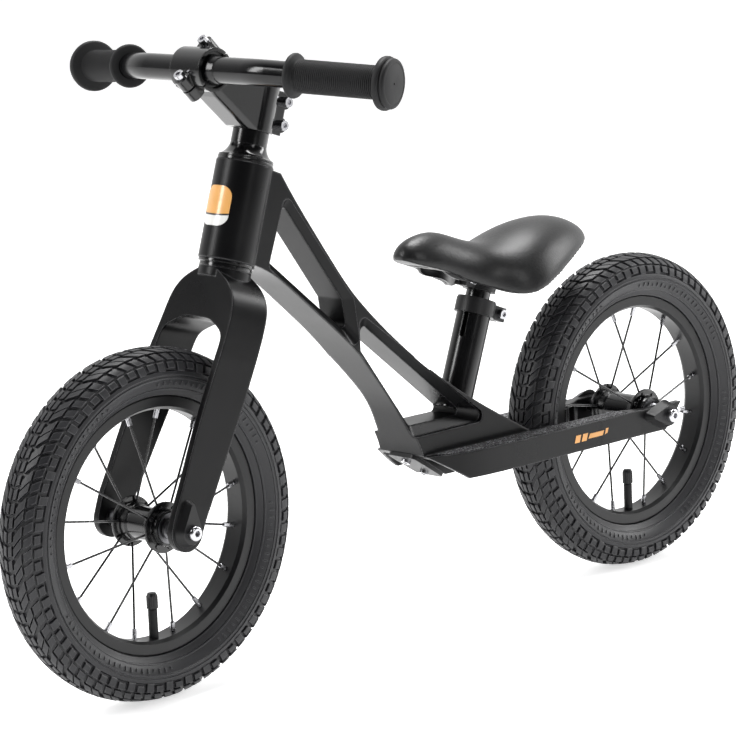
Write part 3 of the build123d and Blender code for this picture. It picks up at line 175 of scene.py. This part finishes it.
def metal(name, colour, rough, brushed=False):
    """Bare metal with fine scratches and smudges."""
    mat, tree, shader = new_material(name)
    scratches = noise(tree, 220.0, 4.0, 0.6, stretch=(1, 12, 1) if brushed else None)
    smudge = noise(tree, 60.0, 3.0, 0.6)
    darker = tuple(c * 0.72 for c in colour)
    smudged = mix_colour(tree, remap(tree, smudge, 0.35, 0.75, 0, 0.6), colour, darker)
    tree.links.new(smudged, shader.inputs["Base Color"])
    gloss = remap(tree, scratches, 0.3, 0.7, rough * 0.7, rough * 1.5)
    tree.links.new(gloss, shader.inputs["Roughness"])
    normal = soft_edges(tree, 0.0003)
    tree.links.new(bump(tree, scratches, 0.25, 0.00002, normal), shader.inputs["Normal"])
    shader.inputs["Metallic"].default_value = 1.0
    return mat


def rubber(name, colour, rough, grain=1400.0, depth=0.00004, specular=0.4, rubber_edge_highlight=0.0):
    """Moulded rubber or plastic: chalky patches, fine grain, painted highlight along the moulded edges."""
    mat, tree, shader = new_material(name)
    patches = noise(tree, 22.0, 5.0, 0.6)
    fine = noise(tree, grain, 3.0, 0.6)
    lighter = tuple(c * 1.8 + 0.008 for c in colour)
    skin = mix_colour(tree, remap(tree, patches, 0.4, 0.8, 0, 0.35), colour, lighter)
    # painted highlight: lighter colour along the moulded edges
    if rubber_edge_highlight:
        skin = mix_colour(tree, edge_mask(tree, 0.0007), skin, (rubber_edge_highlight, rubber_edge_highlight, rubber_edge_highlight * 1.05))
    tree.links.new(skin, shader.inputs["Base Color"])
    gloss = remap(tree, patches, 0.3, 0.7, rough * 0.9, min(1, rough * 1.12))
    tree.links.new(gloss, shader.inputs["Roughness"])
    tree.links.new(bump(tree, fine, 0.5, depth), shader.inputs["Normal"])
    shader.inputs["Specular IOR Level"].default_value = specular
    return mat


def leather(name, colour, rough):
    """Soft synthetic cover: fine pebble grain from cells, faint broad creases."""
    mat, tree, shader = new_material(name)
    place = tree.nodes.new("ShaderNodeTexCoord")
    cells = tree.nodes.new("ShaderNodeTexVoronoi")
    cells.feature = "SMOOTH_F1"
    cells.inputs["Scale"].default_value = 620.0
    tree.links.new(place.outputs["Object"], cells.inputs["Vector"])
    broad = noise(tree, 40.0, 5.0, 0.6)
    lighter = tuple(c * 1.6 + 0.004 for c in colour)
    skin = mix_colour(tree, remap(tree, broad, 0.35, 0.75, 0, 0.6), colour, lighter)
    tree.links.new(skin, shader.inputs["Base Color"])
    gloss = remap(tree, cells.outputs["Distance"], 0.0, 0.9, rough * 0.85, rough * 1.2)
    tree.links.new(gloss, shader.inputs["Roughness"])
    normal = bump(tree, broad, 0.15, 0.0004)
    tree.links.new(bump(tree, cells.outputs["Distance"], 0.55, 0.00016, normal), shader.inputs["Normal"])
    shader.inputs["Specular IOR Level"].default_value = 0.38
    return mat


def grit(name, base, specks):
    """Sandpaper-like tread tape."""
    mat, tree, shader = new_material(name)
    place = tree.nodes.new("ShaderNodeTexCoord")
    grains = tree.nodes.new("ShaderNodeTexVoronoi")
    grains.inputs["Scale"].default_value = 950.0
    tree.links.new(place.outputs["Object"], grains.inputs["Vector"])
    separate = tree.nodes.new("ShaderNodeSeparateColor")
    tree.links.new(grains.outputs["Color"], separate.inputs["Color"])
    bright = remap(tree, separate.outputs["Red"], 0.72, 0.98, 0.0, 1.0)
    tree.links.new(mix_colour(tree, bright, base, specks), shader.inputs["Base Color"])
    gloss = remap(tree, separate.outputs["Green"], 0.0, 1.0, 0.35, 0.95)
    tree.links.new(gloss, shader.inputs["Roughness"])
    tree.links.new(bump(tree, grains.outputs["Distance"], 1.0, 0.0006), shader.inputs["Normal"])
    return mat


def badge_print(name):
    """Plain two-tone badge: orange field over a pale band, parted by a dark line."""
    mat, tree, shader = new_material(name)
    place = tree.nodes.new("ShaderNodeTexCoord")
    split = tree.nodes.new("ShaderNodeSeparateXYZ")
    tree.links.new(place.outputs["Object"], split.inputs["Vector"])
    low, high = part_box("head_badge")
    band = remap(tree, split.outputs["Z"], low.z + 0.0095, low.z + 0.0101, 0.0, 1.0)
    line_low = remap(tree, split.outputs["Z"], low.z + 0.0082, low.z + 0.0086, 0.0, 1.0)
    dark = mix_colour(tree, line_low, (0.78, 0.78, 0.76), (0.02, 0.02, 0.022))
    tree.links.new(mix_colour(tree, band, dark, (0.78, 0.40, 0.12)), shader.inputs["Base Color"])
    shader.inputs["Roughness"].default_value = 0.28
    shader.inputs["Coat Weight"].default_value = 0.4
    tree.links.new(bump(tree, noise(tree, 700.0), 0.1, 0.00002), shader.inputs["Normal"])
    return mat


looks = {
    # frame, gloss black and rim: the last number sets the painted highlight along the edges
    "frame_satin": paint(
        "frame satin", (0.0024, 0.0024, 0.0028), 0.30, edge=0.0026, specular=0.19, paint_edge_highlight=0.17
    ),
    "tube_satin": paint("tube satin", (0.002, 0.002, 0.0024), 0.20, coat=0.12, specular=0.32),
    "gloss_black": paint(
        "gloss black", (0.0015, 0.0015, 0.0018), 0.16, coat=0.35, edge=0.002, specular=0.36, paint_edge_highlight=0.035
    ),
    "rim_black": paint("rim black", (0.005, 0.005, 0.0056), 0.36, specular=0.35, paint_edge_highlight=0.03),
    # tyre and moulded plastic: the last number sets the painted highlight along the edges
    "tyre_rubber": rubber("tyre rubber", (0.0120, 0.0120, 0.0140), 0.46, specular=0.42, rubber_edge_highlight=0.075),
    "rubber_black": rubber("grip rubber", (0.006, 0.006, 0.0066), 0.60, depth=0.00005, specular=0.3),
    "butyl": rubber("butyl", (0.03, 0.03, 0.032), 0.7),
    "rim_tape": rubber("rim tape", (0.30, 0.07, 0.05), 0.6),
    "spoke_black": paint("spoke black", (0.006, 0.006, 0.007), 0.26, edge=0, specular=0.6),
    "nickel": metal("nickel", (0.46, 0.46, 0.48), 0.24),
    "steel": metal("turned steel", (0.24, 0.24, 0.25), 0.32, brushed=True),
    "chrome": metal("chrome", (0.52, 0.52, 0.54), 0.16),
    "plastic_black": rubber(
        "moulded plastic",
        (0.005, 0.005, 0.0056),
        0.40,
        grain=2200.0,
        depth=0.00003,
        specular=0.35,
        rubber_edge_highlight=0.02,
    ),
    "saddle_skin": leather("saddle skin", (0.0044, 0.0044, 0.0047), 0.37),
    "grit_tape": grit("grit tape", (0.020, 0.020, 0.022), (0.40, 0.40, 0.42)),
    "badge": badge_print("badge print"),
}
slot_of = {p["node"]: p["material_slot"] for p in frame["record"]["subparts"]}
for name, obj in nodes.items():
    obj.data.materials.clear()
    obj.data.materials.append(looks[slot_of[name]])
    for face in obj.data.polygons:
        face.use_smooth = True
    obj.data.set_sharp_from_angle(angle=math.radians(28))


# ------------------------------------------------------------------ mesh helpers
def mesh_object(name, verts, faces, slot_name, body, smooth_angle=35.0):
    mesh = bpy.data.meshes.new(name)
    mesh.from_pydata(verts, [], faces)
    mesh.validate()
    obj = bpy.data.objects.new(name, mesh)
    bpy.context.scene.collection.objects.link(obj)
    mesh.materials.append(looks[slot_name])
    for face in mesh.polygons:
        face.use_smooth = True
    mesh.set_sharp_from_angle(angle=math.radians(smooth_angle))
    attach(obj, body)
    return obj


def spun(profile, place, steps):
    """Vertices and faces of an open profile of (radius, height) points turned about local Z."""
    verts, faces = [], []
    count = len(profile)
    for i in range(steps):
        a = 2 * math.pi * i / steps
        for r, h in profile:
            verts.append(place @ Vector((r * math.cos(a), r * math.sin(a), h)))
    for i in range(steps):
        k = (i + 1) % steps
        for j in range(count - 1):
            m = j + 1
            faces.append((i * count + j, k * count + j, k * count + m, i * count + m))
    return verts, faces


# ------------------------------------------------------------------ tyres
TYRE_R = 148.5
crown_points = ((0.0, 148.5), (11.0, 146.6), (16.4, 143.9), (20.6, 140.0), (22.7, 134.5), (23.35, 127.5))


def crown_curve(samples=240):
    """Outer profile as (arc length, half width, radius), smooth through the crown points."""
    pts = [(-11.0, 146.6), *crown_points, (22.9, 122.0)]
    curve = []
    for k in range(1, len(pts) - 2):
        p0, p1, p2, p3 = (Vector(p) for p in pts[k - 1 : k + 3])
        for n in range(samples // 5):
            t = n / (samples // 5)
            curve.append(
                0.5
                * (
                    (2 * p1)
                    + (p2 - p0) * t
                    + (2 * p0 - 5 * p1 + 4 * p2 - p3) * t * t
                    + (3 * p1 - p0 - 3 * p2 + p3) * t * t * t
                )
            )
    out, run = [], 0.0
    for n, p in enumerate(curve):
        if n:
            run += (p - curve[n - 1]).length
        out.append((run, p.x, p.y))
    return out


CROWN = crown_curve()


def on_crown(s, sink=0.0):
    """Half width and radius at arc length s from the centre line, sunk below the surface."""
    side = 1 if s >= 0 else -1
    s = abs(s)
    n = 1
    while n < len(CROWN) - 1 and CROWN[n][0] < s:
        n += 1
    a, b = CROWN[n - 1], CROWN[n]
    t = 0 if b[0] == a[0] else (s - a[0]) / (b[0] - a[0])
    y = a[1] + (b[1] - a[1]) * t
    r = a[2] + (b[2] - a[2]) * t
    d = Vector((b[1] - a[1], b[2] - a[2])).normalized()
    out = Vector((-d.y, d.x))
    if out.y < 0:
        out = -out
    return side * (y - out.x * sink if out.x >= 0 else y), r - out.y * sink


def tread_block(bm, s0, s1, a0, a1, skew, depth, chamfer=0.35):
    """One block between arc lengths s0..s1 and angles a0..a1; skew turns the far edge forward."""
    across, along = 3, 3
    rows = []
    for level, (sink, inset) in enumerate(((depth + 0.3, -0.25), (0.35, 0.0), (0.0, chamfer))):
        ring = []
        for i in range(across + 1):
            for j in range(along + 1):
                ts, ta = i / across, j / along
                s = s0 + (s1 - s0) * ts
                a = a0 + (a1 - a0) * ta + skew * ts
                es = inset * (1 if ts < 0.01 else -1 if ts > 0.99 else 0)
                ea = inset / TYRE_R * (1 if ta < 0.01 else -1 if ta > 0.99 else 0)
                y, r = on_crown(s + es * (1 if s1 > s0 else -1), sink)
                ring.append(ring_point(bm, r, y, a + ea))
        rows.append(ring)

    def at(level, i, j):
        return rows[level][i * (along + 1) + j]

    for i in range(across):
        for j in range(along):
            bm.faces.new((at(2, i, j), at(2, i + 1, j), at(2, i + 1, j + 1), at(2, i, j + 1)))
    edge = [(i, 0) for i in range(across)] + [(across, j) for j in range(along)]
    edge += [(i, along) for i in range(across, 0, -1)] + [(0, j) for j in range(along, 0, -1)]
    for level in (0, 1):
        for n, (i, j) in enumerate(edge):
            i2, j2 = edge[(n + 1) % len(edge)]
            upper = (at(level + 1, i2, j2), at(level + 1, i, j))
            bm.faces.new((at(level, i, j), at(level, i2, j2), *upper))


def ring_point(bm, radius, width, angle):
    """Vertex at a radius, half width and angle about the wheel's axle, given in millimetres."""
    return bm.verts.new((radius * math.cos(angle) * MM, width * MM, radius * math.sin(angle) * MM))


def tyre_mesh():
    """Tyre about its own axle: grooved carcass, blocks in rows, raised sidewall dashes."""
    bm = bmesh.new()
    # carcass below the tread, then the sidewalls with their moulded rings
    groove = 2.5
    left = []
    s = 0.0
    while s < 34.0:
        y, r = on_crown(s, groove if s < 32.4 else groove * max(0.0, (34.0 - s) / 1.6))
        left.append((y, r))
        s += 1.2
    side = [
        # outside, from the shoulder in to the bead
        (23.3, 128.0), (23.35, 127.0), (22.5, 126.5), (22.4, 125.2), (23.3, 124.7),
        (23.2, 123.6), (22.2, 123.2), (21.2, 120.0), (19.6, 117.2), (18.6, 115.8),
        (18.9, 115.0), (18.4, 114.4), (17.0, 114.2), (15.7, 112.4), (14.2, 110.6),
        (13.6, 110.0), (13.4, 109.4), (12.4, 109.0), (10.4, 108.8), (10.4, 102.0),
        # inside, from the bead back out under the tread
        (7.6, 102.0), (9.2, 110.0), (15.6, 116.0), (20.2, 126.5), (15.8, 136.6),
        (8.6, 141.9), (0.0, 143.7),
    ]
    half = left + [p for p in side if p[1] < left[-1][1] or p[0] < 21]
    profile = half + [(-y, r) for y, r in reversed(half[1:-1])]
    steps = 240
    grid = []
    for i in range(steps):
        a = 2 * math.pi * i / steps
        grid.append([ring_point(bm, r, y, a) for y, r in profile])
    for i in range(steps):
        k = (i + 1) % steps
        for j in range(len(profile)):
            m = (j + 1) % len(profile)
            bm.faces.new((grid[i][j], grid[k][j], grid[k][m], grid[i][m]))
    pitch = 2 * math.pi / 40
    for n in range(40):
        a = n * pitch
        for sign in (1, -1):
            shift = 0.0 if sign > 0 else 0.5 * pitch
            # paired narrow blocks at the centre
            for half_step in (0.0, 0.5):
                start = a + shift + half_step * pitch
                tread_block(bm, sign * 1.0, sign * 4.9, start, start + 0.36 * pitch, 0.08 * pitch, groove)
            # large slanted blocks, each split by a fine slit
            for first, last in ((0.0, 0.33), (0.40, 0.76)):
                tread_block(
                    bm,
                    sign * 6.7,
                    sign * 14.6,
                    a + shift + first * pitch,
                    a + shift + last * pitch,
                    0.42 * pitch,
                    groove,
                )
            # slanted bars in pairs
            for half_step in (0.0, 0.5):
                start = a + shift + (0.36 + half_step) * pitch
                tread_block(bm, sign * 16.4, sign * 23.4, start, start + 0.33 * pitch, 0.22 * pitch, groove)
            # shoulder blocks, one long and one short
            start, skew = a + shift, 0.06 * pitch
            tread_block(bm, sign * 25.4, sign * 33.2, start, start + 0.34 * pitch, skew, 2.2, 0.5)
            start = a + shift + 0.5 * pitch
            tread_block(bm, sign * 25.4, sign * 31.0, start, start + 0.34 * pitch, skew, 2.2, 0.5)
    # raised dashes moulded into both sidewalls, in place of the real tyre's markings
    for sign in (1, -1):
        for n in range(120):
            if n % 30 > 21:
                continue
            a0 = 2 * math.pi * n / 120
            tall = 3.4 if n % 3 else 2.2
            base = 118.2
            ring = []
            for rr, aa in ((base, a0), (base + tall, a0), (base + tall, a0 + 0.012), (base, a0 + 0.012)):
                y = 20.3 + (rr - 118.2) * 0.50
                for lift in (-0.5, 0.80):
                    ring.append(ring_point(bm, rr, sign * (y + lift), aa))
            for i in range(4):
                k = (i + 1) % 4
                bm.faces.new((ring[2 * i], ring[2 * k], ring[2 * k + 1], ring[2 * i + 1]))
            bm.faces.new((ring[1], ring[3], ring[5], ring[7]))
    bmesh.ops.recalc_face_normals(bm, faces=bm.faces)
    mesh = bpy.data.meshes.new("tyre_tread")
    bm.to_mesh(mesh)
    bm.free()
    return mesh


tread = tyre_mesh()
for end, x in (("front", 0.298), ("rear", -0.298)):
    mesh = tread.copy()
    mesh.transform(Matrix.Translation((x, 0, 0.1485)))
    obj = bpy.data.objects.new(f"{end}_tyre_tread", mesh)
    bpy.context.scene.collection.objects.link(obj)
    mesh.materials.append(looks["tyre_rubber"])
    for face in mesh.polygons:
        face.use_smooth = True
    mesh.set_sharp_from_angle(angle=math.radians(32))
    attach(obj, f"{end}_wheel")
    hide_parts(f"{end}_tyre")

# ------------------------------------------------------------------ grips
bar_centre = Vector((0.21569, 0, 0.51843))
sweep, drop = math.radians(18.1), math.radians(-3.7)
for side, node in ((1, "left_grip"), (-1, "right_grip")):
    back = -math.sin(sweep) * math.cos(drop)
    out = Vector((back, side * math.cos(sweep) * math.cos(drop), math.sin(drop)))
    bend = bar_centre + Vector((0, side * 0.0706, 0))
    turn = out.to_track_quat("Z", "X").to_matrix().to_4x4()
    place = Matrix.Translation(bend) @ turn
    # inner collar
    profile = [
        (11.15, 31.0), (16.6, 31.0), (17.8, 31.5), (18.5, 32.6), (18.6, 34.0),
        (18.1, 35.4), (16.8, 36.3), (14.6, 36.8), (13.6, 37.6),
    ]
    # ribbed barrel
    z = 38.4
    while z < 110.6:
        profile += [(13.25, z), (13.85, z + 0.35), (13.85, z + 0.95), (13.25, z + 1.3)]
        z += 1.75
    # outer flange, end disc and vent hole
    profile += [
        (13.6, 112.4), (15.6, 113.2), (20.4, 113.6), (21.5, 114.3), (22.0, 115.6),
        (22.0, 117.6), (21.6, 118.8), (20.8, 119.5), (19.4, 119.8), (19.3, 120.3),
        (20.2, 120.6), (20.5, 121.2), (20.5, 122.6), (20.0, 123.6), (19.0, 124.2),
        (17.4, 124.4), (17.0, 124.1), (16.6, 124.1), (16.2, 124.3), (4.0, 124.1),
        (1.0, 124.1), (0.9, 123.4), (0.02, 123.4),
    ]
    verts, faces = spun([(r * MM, h * MM) for r, h in profile], place, 96)
    obj = mesh_object(f"{node}_ribbed", verts, faces, "rubber_black", "steering", 40)
    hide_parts(node)

# ------------------------------------------------------------------ printed bars on the left stay
print_mat = paint("orange print", (0.62, 0.30, 0.09), 0.35, edge=0, specular=0.4)
# front edge and length of each bar along the stay; the long one is a little lower
printed_bars = ((-0.1735, 0.0070), (-0.1830, 0.0070), (-0.1925, 0.0200), (-0.2150, 0.0035))
stay_bend_x = -0.208            # the stay's side face turns here
columns = 6
bar_verts, bar_faces = [], []
for n, (start, width) in enumerate(printed_bars):
    low, high = (0.1432, 0.1476) if n == 2 else (0.1420, 0.1488)
    for k in range(columns + 1):
        x = start - width * k / columns
        if x > stay_bend_x:
            y = 0.0498 + (0.0484 - 0.0498) * (x + 0.130) / (-0.208 + 0.130)
        elif x < stay_bend_x:
            y = 0.0484 - (x + 0.208) * -0.0241
        else:
            y = 0.0484
        bar_verts += [(x + 0.0012, y + 0.00022, low), (x - 0.0012, y + 0.00022, high)]
        if k:
            i = len(bar_verts)
            bar_faces.append((i - 4, i - 2, i - 1, i - 3))
bars = mesh_object("stay_print", bar_verts, bar_faces, "badge", "frame")
bars.data.materials.clear()
bars.data.materials.append(print_mat)

# ------------------------------------------------------------------ saddle
source = nodes["saddle_cover"]
skin = source.copy()
skin.data = source.data.copy()
skin.name = "saddle_padding"
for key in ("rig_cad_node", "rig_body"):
    if key in skin:
        del skin[key]
skin.parent = None
bpy.context.scene.collection.objects.link(skin)
bpy.ops.object.select_all(action="DESELECT")
bpy.context.view_layer.objects.active = skin
skin.select_set(True)
weld = skin.modifiers.new("weld", "WELD")
weld.merge_threshold = 0.00002
remesh = skin.modifiers.new("remesh", "REMESH")
remesh.mode = "VOXEL"
remesh.voxel_size = 0.0018
smooth = skin.modifiers.new("smooth", "SMOOTH")
smooth.factor = 0.5
smooth.iterations = 4
for mod in ("weld", "remesh", "smooth"):
    bpy.ops.object.modifier_apply(modifier=mod)
skin.data.materials.clear()
skin.data.materials.append(looks["saddle_skin"])
for face in skin.data.polygons:
    face.use_smooth = True
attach(skin, "seat")
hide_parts("saddle_cover")

# ------------------------------------------------------------------ stage, light, camera
floor_mat, floor_tree, floor_shader = new_material("floor")
floor_shader.inputs["Base Color"].default_value = (0.88, 0.88, 0.88, 1)
floor_shader.inputs["Roughness"].default_value = 0.9
floor_shader.inputs["Specular IOR Level"].default_value = 0.1
floor_shader.inputs["Emission Color"].default_value = (1, 1, 1, 1)
floor_shader.inputs["Emission Strength"].default_value = 0.62
bpy.ops.mesh.primitive_plane_add(size=60, location=(0, 0, 0))
floor = bpy.context.object
floor.name = "studio_floor"
floor.data.materials.append(floor_mat)


def softbox(name, location, target, size, power):
    lamp = bpy.data.lights.new(name, "AREA")
    lamp.shape = "RECTANGLE"
    lamp.size, lamp.size_y = size
    lamp.energy = power
    obj = bpy.data.objects.new(name, lamp)
    obj.location = location
    aim = Vector(target) - Vector(location)
    obj.rotation_euler = aim.to_track_quat("-Z", "Y").to_euler()
    bpy.context.scene.collection.objects.link(obj)
    return obj


softbox("key", (2.2, -0.9, 1.7), (0.1, 0, 0.3), (0.6, 1.6), 40)
softbox("fill", (0.2, 2.6, 1.6), (0, 0, 0.25), (0.7, 1.5), 15)
softbox("top", (-0.5, -0.2, 2.3), (-0.05, 0, 0), (0.9, 1.2), 60)
softbox("back", (-2.2, 0.9, 1.2), (0, 0, 0.3), (0.6, 1.4), 26)

# white sweep behind the bike, darker room behind the camera
world = bpy.data.worlds.new("studio")
bpy.context.scene.world = world
world.use_nodes = True
sky = world.node_tree
place = sky.nodes.new("ShaderNodeTexCoord")
aim = sky.nodes.new("ShaderNodeVectorMath")
aim.operation = "DOT_PRODUCT"
aim.inputs[1].default_value = (-0.69, -0.72, 0.0)
sky.links.new(place.outputs["Generated"], aim.inputs[0])
sweep_level = remap(sky, aim.outputs["Value"], -0.06, 0.45, 0.055, 1.08)
background = sky.nodes["Background"]
background.inputs["Color"].default_value = (1, 1, 1, 1)
sky.links.new(sweep_level, background.inputs["Strength"])
bpy.context.scene.view_settings.view_transform = "Standard"
bpy.context.scene.view_settings.look = "None"

# camera at the photo's view
yaw, pitch, roll = -2.33680, -0.18026, -0.04041
forward = Vector((math.cos(pitch) * math.cos(yaw), math.cos(pitch) * math.sin(yaw), math.sin(pitch)))
level = forward.cross(Vector((0, 0, 1))).normalized()
upright = level.cross(forward)
right = math.cos(roll) * level + math.sin(roll) * upright
up = -math.sin(roll) * level + math.cos(roll) * upright
lens = bpy.data.cameras.new("photo_view")
lens.lens = 169.32
lens.sensor_width = 36.0
lens.shift_x = -0.00259
lens.shift_y = 0.00517
lens.dof.use_dof = False
lens.clip_start, lens.clip_end = 0.05, 100
camera = bpy.data.objects.new("photo_view", lens)
camera.matrix_world = Matrix(
    (
        (right.x, up.x, -forward.x, 2.10523),
        (right.y, up.y, -forward.y, 2.15133),
        (right.z, up.z, -forward.z, 0.78004),
        (0, 0, 0, 1),
    )
)
bpy.context.scene.collection.objects.link(camera)
bpy.context.scene.camera = camera
